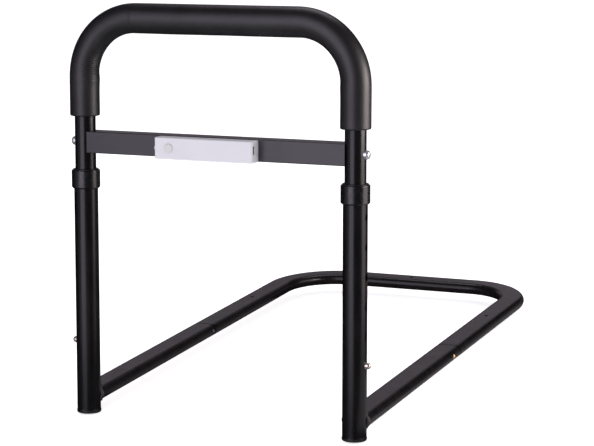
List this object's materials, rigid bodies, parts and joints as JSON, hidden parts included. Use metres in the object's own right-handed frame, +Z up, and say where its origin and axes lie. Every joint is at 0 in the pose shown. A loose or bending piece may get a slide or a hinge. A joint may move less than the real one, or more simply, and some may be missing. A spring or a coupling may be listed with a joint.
{
  "type": "bed assist rail",
  "caption": "Bed assist rail: a foam-gripped arch that adjusts for height in leaning posts, on a U-shaped frame that slides under the mattress, with a clip-on motion-sensing night light.",
  "frame": {"origin": "centre of the footprint, at the level of the lowest edge of the feet, with the handle at its lowest setting and the under-mattress arms level", "axes": "+X across the rail, +Y from the handle towards the back bar under the mattress, +Z up; the posts and handle lean 4 degrees towards +Y"},
  "size_m": [0.345, 0.6068, 0.4402],
  "materials": {
    "black_steel": "gloss",
    "inner_steel": "satin",
    "black_plastic": "matte",
    "foam": "matte",
    "bright_steel": "polished",
    "spring_steel": "satin",
    "magnet": "polished",
    "tray_plastic": "satin",
    "diffuser_plastic": "satin",
    "board": "satin",
    "battery": "satin",
    "switch_plastic": "satin"
  },
  "bodies": {
    "base": {"post_left": "black_steel", "post_right": "black_steel", "front_arm_left": "black_steel", "front_arm_right": "black_steel", "weld_left": "black_steel", "weld_right": "black_steel", "collar_left": "black_plastic", "collar_right": "black_plastic", "guide_bush_left": "black_plastic", "guide_bush_right": "black_plastic", "foot_plug_left": "black_plastic", "foot_plug_right": "black_plastic"},
    "frame": {"rear_frame": "black_steel", "spigot_left": "inner_steel", "spigot_right": "inner_steel", "frame_spring_left": "spring_steel", "frame_spring_right": "spring_steel"},
    "frame_catch_left": {"frame_button_left": "bright_steel"},
    "frame_catch_right": {"frame_button_right": "bright_steel"},
    "handle": {"handle_tube": "black_steel", "foam_grip": "foam", "crossbar": "black_steel", "crossbar_nut_left": "spring_steel", "crossbar_nut_right": "spring_steel", "crossbar_screw_left": "bright_steel", "crossbar_screw_right": "bright_steel", "leg_glide_left": "black_plastic", "leg_glide_right": "black_plastic", "height_spring_left": "spring_steel", "height_spring_right": "spring_steel"},
    "height_catch_left": {"height_button_left": "bright_steel"},
    "height_catch_right": {"height_button_right": "bright_steel"},
    "light": {"light_housing": "tray_plastic", "light_diffuser": "diffuser_plastic", "sensor_lens": "diffuser_plastic", "motion_sensor": "bright_steel", "led_board": "board", "leds": "board", "light_battery": "battery", "light_magnets": "magnet", "usb_port": "bright_steel", "switch_case": "switch_plastic"},
    "light_switch": {"mode_switch": "switch_plastic"}
  },
  "joints": [
    {"name": "height_slide", "type": "slide", "parent": "base", "child": "handle", "axis": [0, 0.0698, 0.9976], "range_m": [0, 0.152], "deforming": ["height_button_left", "height_button_right", "height_spring_left", "height_spring_right"]},
    {"name": "frame_pull", "type": "slide", "parent": "base", "child": "frame", "axis": [0, 1, 0], "range_m": [0, 0.045], "deforming": ["frame_button_left", "frame_button_right", "frame_spring_left", "frame_spring_right"]},
    {"name": "height_button_left_press", "type": "slide", "parent": "handle", "child": "height_catch_left", "axis": [1, 0, 0], "range_m": [0, 0.0066], "stiffness_N_per_m": 2500, "springref_m": -0.001, "deforming": ["height_spring_left"]},
    {"name": "height_button_right_press", "type": "slide", "parent": "handle", "child": "height_catch_right", "axis": [-1, 0, 0], "range_m": [0, 0.0066], "stiffness_N_per_m": 2500, "springref_m": -0.001, "deforming": ["height_spring_right"]},
    {"name": "frame_button_left_press", "type": "slide", "parent": "frame", "child": "frame_catch_left", "axis": [-1, 0, 0], "range_m": [0, 0.0025], "stiffness_N_per_m": 2200, "springref_m": -0.001, "deforming": ["frame_spring_left"]},
    {"name": "frame_button_right_press", "type": "slide", "parent": "frame", "child": "frame_catch_right", "axis": [-1, 0, 0], "range_m": [0, 0.0025], "stiffness_N_per_m": 2200, "springref_m": -0.001, "deforming": ["frame_spring_right"]},
    {"name": "light_release", "type": "slide", "parent": "handle", "child": "light", "axis": [0, -0.9976, 0.0698], "range_m": [0, 0.02]},
    {"name": "mode_switch_slide", "type": "slide", "parent": "light", "child": "light_switch", "axis": [0, 0.0698, 0.9976], "range_m": [-0.0015, 0.0015]}
  ]
}
